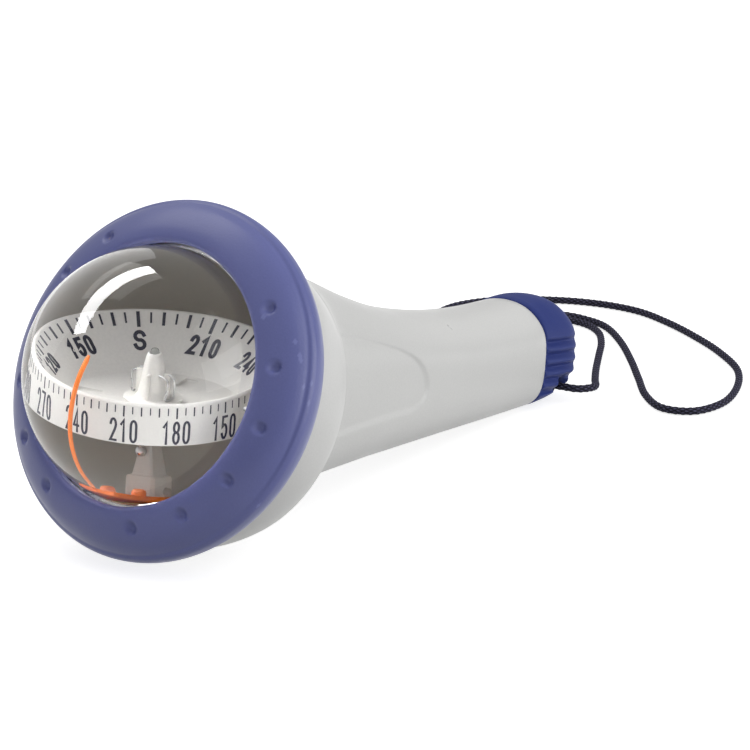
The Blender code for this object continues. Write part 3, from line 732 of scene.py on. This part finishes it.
def make_gimbal(finishes):
    """Clear yoke, frosted stand with its bearing, and the orange lubber rod on its base."""
    loops = []
    for i in range(73):
        angle = -math.pi * (0.02 + 0.96 * i / 72)
        y, z = math.cos(angle), math.sin(angle)
        loops.append([(x, y * r, z * r) for x, r in ((-2.0, 25.9), (-1.8, 25.7), (1.8, 25.7), (2.0, 25.9),
                                                     (2.0, 27.1), (1.8, 27.3), (-1.8, 27.3), (-2.0, 27.1))])
    yoke = piece("clear_yoke", skin(bmesh.new(), loops, "capped"), GIMBAL, finishes["yoke"], "gimbal")
    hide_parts("gimbal_yoke")

    post = [(2.4, 3.0, -25.4), (2.4, 3.0, -16.6), (2.3, 2.9, -16.3), (2.0, 2.2, -16.1), (1.9, 2.1, -15.8),
            (1.2, 0.9, -9.8)]
    corner = ((-1, -0.8), (-0.8, -1), (0.8, -1), (1, -0.8), (1, 0.8), (0.8, 1), (-0.8, 1), (-1, 0.8))
    loops = [[(a * depth, b * width, z) for a, b in corner] for depth, width, z in post]
    stand = piece("needle_stand", skin(bmesh.new(), loops, "capped"), GIMBAL, finishes["stand"], "gimbal")
    bearing = piece("stand_bearing", turned([(ON_AXIS, -11.1), (0.6, -11.3), (0.95, -11.9), (0.95, -12.3),
                                             (0.6, -12.9), (ON_AXIS, -13.1)], 24, "capped"),
                    GIMBAL @ Matrix.Translation((-2.3, 0.0, 0.0)), finishes["steel"], "gimbal")

    route = [(-20.2, 9.6), (-23.0, 6.2), (-24.9, 2.4), (-26.0, -2.5), (-25.8, -7.5), (-24.2, -12.0),
             (-21.4, -16.2), (-16.4, -20.4)]
    path, _ = smooth_route([Vector((x, 0.0, z)) for x, z in route], 0.6)
    count = len(path)
    def outline(i):
        end = min(i, count - 1 - i)
        radius = 0.56 * (0.55 + 0.45 * smoothstep(0, 2, end))
        return round_outline(radius, 20)
    bm = skin(bmesh.new(), sweep(path, outline, Vector((0.0, 1.0, 0.0))), "capped")
    base = box_bm((21.6, 9.4, 1.6), 0.35)
    bmesh.ops.translate(base, vec=(-5.4, 0.0, -20.6), verts=base.verts)
    for side in (-1, 1):
        knob = turned([(ON_AXIS, -21.0), (1.3, -21.0), (1.35, -19.2), (1.2, -18.6), (0.8, -18.3),
                       (ON_AXIS, -18.25)], 24, "capped")
        bmesh.ops.translate(knob, vec=(-6.4, side * 3.3, 0.0), verts=knob.verts)
        join(base, knob)
    join(bm, base)
    rod = piece("orange_lubber", bm, GIMBAL, finishes["orange"], "gimbal")
    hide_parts("lubber_rod")


def join(target, extra):
    """Adds one bmesh to another."""
    found = {v: target.verts.new(v.co) for v in extra.verts}
    for face in extra.faces:
        target.faces.new([found[v] for v in face.verts])
    extra.free()


# ---------------------------------------------------------------- compass card

def bow(centre, radii, start, end, steps=10):
    """Points on an ellipse's arc, angles in degrees from +x."""
    out = []
    for i in range(steps + 1):
        a = math.radians(start + (end - start) * i / steps)
        out.append((centre[0] + radii[0] * math.cos(a), centre[1] + radii[1] * math.sin(a)))
    return out


# Strokes of each letter and figure, as lines of points in a box from (0, 0) to (1, 1)
OVAL = bow((0.5, 0.74), (0.5, 0.26), 0, 180) + bow((0.5, 0.26), (0.5, 0.26), 180, 360) + [(1.0, 0.74)]
GLYPHS = {
    "0": [OVAL],
    "1": [[(0.12, 0.80), (0.58, 1.0), (0.58, 0.0)]],
    "2": [bow((0.5, 0.74), (0.5, 0.26), 172, -20) + [(0.80, 0.50), (0.0, 0.0), (1.0, 0.0)]],
    "3": [bow((0.5, 0.76), (0.48, 0.24), 165, -90) + bow((0.48, 0.27), (0.52, 0.27), 80, -165)],
    "4": [[(0.74, 0.0), (0.74, 1.0), (0.0, 0.27), (1.0, 0.27)]],
    "5": [[(0.95, 1.0), (0.10, 1.0), (0.04, 0.54)] + bow((0.48, 0.32), (0.52, 0.32), 130, -160)],
    "6": [[(0.92, 0.86)] + bow((0.5, 0.74), (0.48, 0.26), 40, 180)
          + bow((0.5, 0.29), (0.5, 0.29), 180, 540, 20)],
    "7": [[(0.0, 1.0), (1.0, 1.0), (0.35, 0.0)]],
    "8": [bow((0.5, 0.76), (0.45, 0.24), -90, 270, 20), bow((0.5, 0.27), (0.5, 0.27), -90, 270, 20)],
    "9": [[(0.08, 0.14)] + bow((0.5, 0.26), (0.48, 0.26), 220, 360)
          + bow((0.5, 0.71), (0.5, 0.29), 0, 360, 20)],
    "N": [[(0.0, 0.0), (0.0, 1.0), (1.0, 0.0), (1.0, 1.0)]],
    "E": [[(1.0, 1.0), (0.0, 1.0), (0.0, 0.0), (1.0, 0.0)], [(0.0, 0.52), (0.85, 0.52)]],
    "S": [bow((0.5, 0.755), (0.48, 0.245), 15, 255) + bow((0.5, 0.265), (0.5, 0.265), 75, -170)],
    "W": [[(0.0, 1.0), (0.25, 0.0), (0.5, 0.85), (0.75, 0.0), (1.0, 1.0)]],
}


def stroke(points, width, bm, place):
    """A flat ribbon along points with mitred corners, as a thin closed solid. place maps (x, y, lift)."""
    points = [Vector(p) for p in points]
    normals = []
    for i, point in enumerate(points):
        ways = []
        if i:
            ways.append((point - points[i - 1]).normalized())
        if i < len(points) - 1:
            ways.append((points[i + 1] - point).normalized())
        along = sum(ways, Vector((0.0, 0.0))).normalized()
        normal = Vector((-along.y, along.x))
        mitre = max(0.45, normal.dot(Vector((-ways[0].y, ways[0].x))))
        normals.append(normal * (width / 2 / mitre))
    first, final = (points[0] - points[1]).normalized(), (points[-1] - points[-2]).normalized()
    points[0] += first * width * 0.5
    points[-1] += final * width * 0.5
    loops = []
    for point, normal in zip(points, normals):
        a, b = point + normal, point - normal
        loops.append([place(a.x, a.y, MARK_LIFT), place(b.x, b.y, MARK_LIFT),
                      place(b.x, b.y, -MARK_SINK), place(a.x, a.y, -MARK_SINK)])
    skin(bm, loops, "capped")


def on_skirt(angle):
    """Maps (x, y, lift) on the card's outer skirt, upright, to card coordinates."""
    def place(x, y, lift):
        radius = CARD_R + 0.1 - 0.3 * (1.2 - y) / 8.4 + lift
        a = angle + x / CARD_R
        return Vector((radius * math.cos(a), radius * math.sin(a), y))
    return place


def on_cone(angle):
    """Maps (x, y, lift) on the dish's sloping top, y down from the rim, feet to the centre."""
    run = Vector((CARD_R - 0.5 - CARD_FLOOR_R, CARD_TOP - CARD_FLOOR)).normalized()
    def place(x, y, lift):
        radius = CARD_R - 0.5 - run.x * y - run.y * lift
        a = angle - x / radius
        return Vector((radius * math.cos(a), radius * math.sin(a), CARD_TOP - run.y * y + run.x * lift))
    return place


def write_label(text, bm, place, height, digit, gap, width, foot, down):
    """Writes text centred on its place. digit is a letter's width, width its stroke's."""
    total = len(text) * digit + (len(text) - 1) * gap
    for index, letter in enumerate(text):
        left = -total / 2 + index * (digit + gap)
        for line in GLYPHS[letter]:
            mapped = []
            for x, y in line:
                rise = y * (height - width) + width / 2
                mapped.append((left + width / 2 + x * (digit - width), foot - rise if down else foot + rise))
            stroke(mapped, width, bm, place)


def make_card(finishes):
    """Dished dial, its two inked scales, the tower with its fins, the jewel and the wire clips."""
    floor = CARD_FLOOR - CARD_WALL
    outline = [(CARD_R - 0.2, CARD_TOP), (CARD_R + 0.1, 1.2), (CARD_R - 0.2, CARD_SKIRT),
               (CARD_R - 0.2 - CARD_WALL, CARD_SKIRT), (CARD_R - 0.1 - CARD_WALL, 0.5),
               (CARD_FLOOR_R - 0.3, floor), (4.0, floor), (4.0, CARD_FLOOR), (CARD_FLOOR_R, CARD_FLOOR),
               (CARD_R - 0.5, CARD_TOP)]
    profile = [tuple(p) for p in softened(outline, 0.12)]
    dish = piece("card_dish", turned(profile, 180), GIMBAL, finishes["card"], "card")
    for i in range(4):
        place = GIMBAL @ turn(15 + 90 * i, "Z") @ Matrix.Translation((10.8, 0.0, CARD_FLOOR + 0.6))
        cut(dish, cutter(box_bm((3.8, 2.0, 2.0), 0.3), place))
    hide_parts("card_dial")

    bm = bmesh.new()
    for degrees in range(0, 360, 5):
        major, ten = degrees % 30 == 0, degrees % 10 == 0
        length = 2.05 if major else 1.75 if ten else 1.4
        width = 0.46 if major else 0.40 if ten else 0.26
        angle = math.radians(TOP_SCALE_TURN - degrees)
        stroke([(0.0, 0.45), (0.0, 0.45 + length - width)], width, bm, on_cone(angle))
        length = 2.3 if major else 1.9 if ten else 1.55
        width = 0.34 if major else 0.28 if ten else 0.22
        angle = math.radians(SKIRT_SCALE_TURN - degrees)
        stroke([(0.0, 0.75), (0.0, 0.75 - length + width)], width, bm, on_skirt(angle))
    names = {0: "N", 90: "E", 180: "S", 270: "W"}
    for degrees in range(0, 360, 30):
        top = names.get(degrees, str(degrees))
        digit = 1.3 if len(top) > 1 else 1.75
        cone = on_cone(math.radians(TOP_SCALE_TURN - degrees))
        write_label(top, bm, cone, height=2.9, digit=digit, gap=0.30, width=0.50, foot=5.6, down=True)
        skirt = on_skirt(math.radians(SKIRT_SCALE_TURN - degrees))
        write_label(str(degrees), bm, skirt, height=5.0, digit=1.6, gap=0.5, width=0.50, foot=-6.9,
                    down=False)
    marks = piece("card_markings", bm, GIMBAL, finishes["ink"], "card", 30.0)

    hub = [(3.7, -5.2), (3.7, -3.95), (4.7, -3.9), (4.8, -3.5), (3.0, -3.3), (2.5, -2.6), (2.15, -0.6),
           (1.95, 0.7), (1.6, 2.6), (1.35, 3.7), (1.2, 4.15), (1.0, 4.3), (0.9, 4.3), (0.9, 3.4), (1.1, 1.0),
           (1.6, -3.6), (1.6, -5.2)]
    bm = turned(hub, 72)
    for spin in (20, 110, 200, 290):
        fin = box_bm((1.2, 0.6, 5.0), 0.15)
        place = turn(spin, "Z") @ Matrix.Translation((2.4, 0.0, -1.4))
        bmesh.ops.transform(fin, matrix=place, verts=fin.verts)
        join(bm, fin)
    tower = piece("card_tower", bm, GIMBAL, finishes["card"], "card")
    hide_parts("card_hub")

    cup = smooth_line([(ON_AXIS, 5.1), (0.5, 5.0), (0.72, 4.5), (0.7, 3.2), (0.95, 2.0)], 6)
    cup += [Vector((0.6, 1.9)), Vector((0.2, 2.95)), Vector((ON_AXIS, 3.0))]
    tip = turned([tuple(p) for p in cup], 32, "capped")
    jewel = piece("jewel_tip", tip, GIMBAL, finishes["jewel"], "card")
    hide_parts("jewel_cup")
    for side, name in ((-1, "left"), (1, "right")):
        bends = [(0.8, 1.9, 0.9), (0.8, 2.9, 0.75), (0.8, 3.9, 0.2), (0.9, 3.8, -1.6), (1.0, 3.6, -2.8),
                 (0.6, 3.55, -3.1), (-0.6, 3.55, -3.1), (-1.0, 3.6, -2.8), (-0.9, 3.8, -1.6),
                 (-0.8, 3.9, 0.2), (-0.8, 2.9, 0.75), (-0.8, 1.9, 0.9)]
        path, _ = smooth_route([Vector((x, side * y, z)) for x, y, z in bends], 0.3)
        bm = skin(bmesh.new(), sweep(path, lambda i: round_outline(0.2, 12)), "capped")
        clip = piece("wire_clip_" + name, bm, GIMBAL, finishes["steel"], "card")
        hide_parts("hub_clip_" + name)


# ---------------------------------------------------------------- end cap

def cap_loop(t, above, below, half, ripple, count=240):
    """The cap's outline at t, with grip ribs along both flanks."""
    top, bottom = grip_point(t, above), grip_point(t, -below)
    loop = section_loop(top, bottom, half, 0.0, below / (above + below), count=count)
    centre_x, centre_z = grip_point(t, 0.0)
    centre = Vector((centre_x, 0.0, centre_z))
    up = Vector((top[0] - bottom[0], 0.0, top[1] - bottom[1])).normalized()
    for point in loop:
        height = (point - centre).dot(up)
        if abs(point.y) > 0.6 * half and ripple:
            groove = (0.5 - 0.5 * math.cos(TAU * height / RIB_PITCH)) ** 1.3
            rising = smoothstep(RIBS_LOW - 0.3, RIBS_LOW + 0.5, height)
            falling = 1 - smoothstep(RIBS_HIGH - 0.6, RIBS_HIGH + 0.3, height)
            point.y -= math.copysign(ripple * groove * (rising * falling), point.y)
    return loop


def make_cap(finish):
    """Ribbed end cap with its hollow spigot and the flared bore of the eyelet."""
    t = GRIP_END
    shape = [(t + GAP, 14.3, 12.8, 13.7, 0.25), (t + 0.6, 14.75, 13.1, 14.1, 0.7),
             (t + 1.2, 15.0, 13.15, 14.3, 1.1),
             (t + 2.4, 15.2, 13.0, 14.35, 1.2), (t + 7.0, 15.6, 12.0, 14.4, 1.2),
             (t + 12.0, 15.2, 10.4, 14.1, 1.2), (t + 15.4, 14.0, 8.8, 13.2, 0.9),
             (t + 17.6, 12.3, 7.1, 11.8, 0.25), (t + 18.7, 10.6, 5.7, 10.1, 0.0),
             (t + CAP_LENGTH, 8.8, 4.4, 8.3, 0.0)]
    columns = list(zip(*shape))
    outer = []
    for i in range(CAP_ROWS + 1):
        u = (len(shape) - 1) * (1 - i / CAP_ROWS)
        place, above, below, half, ripple = (spline_value(column, u) for column in columns)
        outer.append(cap_loop(place, above, below, half, max(0.0, ripple)))
    spigot = [(t + GAP, 3.1), (t - 3.0, 3.1), (t - 3.0, 4.3), (t - 5.2, 4.3), (t - 5.2, 3.1), (t - 8.3, 3.2),
              (t - 8.5, 3.5), (t - 8.5, 5.4), (t + 5.0, 5.6)]
    inner = [cap_loop(place, 14.4 - i, 13.1 - i, 14.0 - i, 0.0) for place, i in spigot]
    cap = piece("ribbed_cap", skin(bmesh.new(), outer + inner, "capped"), COMPASS, finish, "cap")
    x, z = grip_point(*EYELET)
    place = COMPASS @ Matrix.Translation((x, 0.0, z)) @ turn(90, "X")
    bore = [(4.4, -20.0), (4.4, -14.6), (3.4, -13.0), (2.5, -11.9), (EYELET_R, -10.6), (EYELET_R, 10.6),
            (2.5, 11.9), (3.4, 13.0), (4.4, 14.6), (4.4, 20.0)]
    cut(cap, cutter(turned(bore, 48, "capped"), place))
    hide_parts("end_cap")


# ---------------------------------------------------------------- lights and floor

def area_light(name, towards, centre, distance, size, watts, color=(1.0, 1.0, 1.0), long_way=None):
    """A softbox in the given direction from a point, facing it."""
    towards = towards.normalized()
    data = bpy.data.lights.new(name, "AREA")
    data.shape = "RECTANGLE"
    data.size, data.size_y = size[0] * MM, size[1] * MM
    data.energy = watts
    data.color = color
    light = bpy.data.objects.new(name, data)
    bpy.context.collection.objects.link(light)
    side = (long_way or Vector((0.0, 0.0, 1.0)).cross(towards)).normalized()
    side = (side - towards * side.dot(towards)).normalized()
    up = towards.cross(side)
    turned_to = Matrix((side, up, towards)).transposed().to_4x4()
    light.matrix_world = Matrix.Translation((centre + towards * distance) * MM) @ turned_to
    return light


def make_studio(view, shone_on):
    """Soft lights, all but the flank placed as the camera sees them, a graded room and a pale floor.

    The strip and the glow are mirrored in the window and light nothing else.
    """
    across, upward, back = view
    def seen(x, y, z):
        return (across * x + upward * y + back * z).normalized()
    dome = RING + AXIS * CAPSULE_S
    low, high = seen(-0.834, 0.487, 0.261), seen(-0.02, 0.962, -0.26)
    strip = area_light("strip", low + high, dome, 506.0, (640.0, 115.0), 5.5, long_way=high - low)
    glow = area_light("glow", seen(-0.68, 0.36, -0.64), dome, 700.0, (1100.0, 1100.0), 4.6)
    for light in (strip, glow):
        light.visible_diffuse = False
        light.light_linking.receiver_collection = shone_on
    area_light("key", seen(-0.35, 1.0, -0.15), RING, 1100.0, (700.0, 700.0), 2.9, (1.0, 0.99, 0.96))
    area_light("side", seen(0.95, 0.45, 0.35), RING, 1100.0, (600.0, 900.0), 2.6, (0.98, 0.99, 1.0))
    area_light("flank", Vector((0.25, -1.0, 0.12)), Vector((20.0, 0.0, 30.0)), 1000.0, (900.0, 600.0), 4.2)

    make_room()
    make_floor()
    bpy.context.scene.view_settings.view_transform = "Standard"


def make_room():
    """A pale room, brighter overhead and darker below."""
    world = bpy.data.worlds.new("studio")
    bpy.context.scene.world = world
    world.use_nodes = True
    nodes, links = world.node_tree.nodes, world.node_tree.links
    way = nodes.new("ShaderNodeTexCoord")
    split = nodes.new("ShaderNodeSeparateXYZ")
    level = nodes.new("ShaderNodeMapRange")
    sky = nodes.new("ShaderNodeValToRGB")
    level.inputs["From Min"].default_value = -1.0
    for place, grey in ((0.40, 0.20), (0.60, 0.52)):
        sky.color_ramp.elements.new(place).color = (grey, grey, grey * 1.01, 1.0)
    sky.color_ramp.elements[0].color = (0.12, 0.12, 0.12, 1.0)
    sky.color_ramp.elements[-1].color = (0.70, 0.70, 0.71, 1.0)
    links.new(way.outputs["Generated"], split.inputs["Vector"])
    links.new(split.outputs["Z"], level.inputs["Value"])
    links.new(level.outputs["Result"], sky.inputs["Fac"])
    links.new(sky.outputs["Color"], nodes["Background"].inputs["Color"])
    nodes["Background"].inputs["Strength"].default_value = 1.0


FLOOR_SIZE = 8000.0
FLOOR_DROP = 0.05               # keeps the paper clear of the faces that rest on the table plane


def make_floor():
    """A wide sheet of pale paper that lights nothing by diffuse bounce."""
    paper = Finish("paper floor", (0.60, 0.60, 0.60), 0.9, Emission_Strength=0.75)
    paper.shader.inputs["Emission Color"].default_value = (1.0, 1.0, 1.0, 1.0)
    paper.roughness(paper.number_ramp(paper.noise(12.0), 0.85, 0.95))
    bm = bmesh.new()
    bmesh.ops.create_grid(bm, x_segments=8, y_segments=8, size=FLOOR_SIZE)
    floor = piece("floor", bm, Matrix.Translation((0.0, 0.0, -FLOOR_DROP)), paper.material, None)
    floor.visible_diffuse = False


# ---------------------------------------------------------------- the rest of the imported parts

KEPT = {
    "rubber": ("capsule_seal", "expansion_diaphragm", "cap_seal"),
    "steel": ("trunnion_ring", "filler_plug", "pivot_needle", "card_magnet_left", "card_magnet_right",
              "contact_spring"),
    # These take the bowl finish, with its painted light low down and painted shade higher up.
    "bowl": ("diaphragm_clamp", "battery_tube"),
    "cell": ("battery_front", "battery_rear"),
    "board": ("lamp_board",),
    "red": ("night_lamp",),
    "brass": ("keel_weight",),
}


def finish_kept(finishes):
    """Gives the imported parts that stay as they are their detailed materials."""
    for key, names in KEPT.items():
        for name in names:
            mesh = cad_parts[name].data
            mesh.materials.clear()
            mesh.materials.append(finishes[key])


view = make_camera()
finishes = make_finishes()
make_lanyard(finishes["cord"])
make_shell(finishes["shell"])
make_ring(finishes["ring"])
shone_on = bpy.data.collections.new("window")
make_capsule(finishes, shone_on)
make_gimbal(finishes)
make_card(finishes)
make_cap(finishes["cap"])
finish_kept(finishes)
make_studio(view, shone_on)
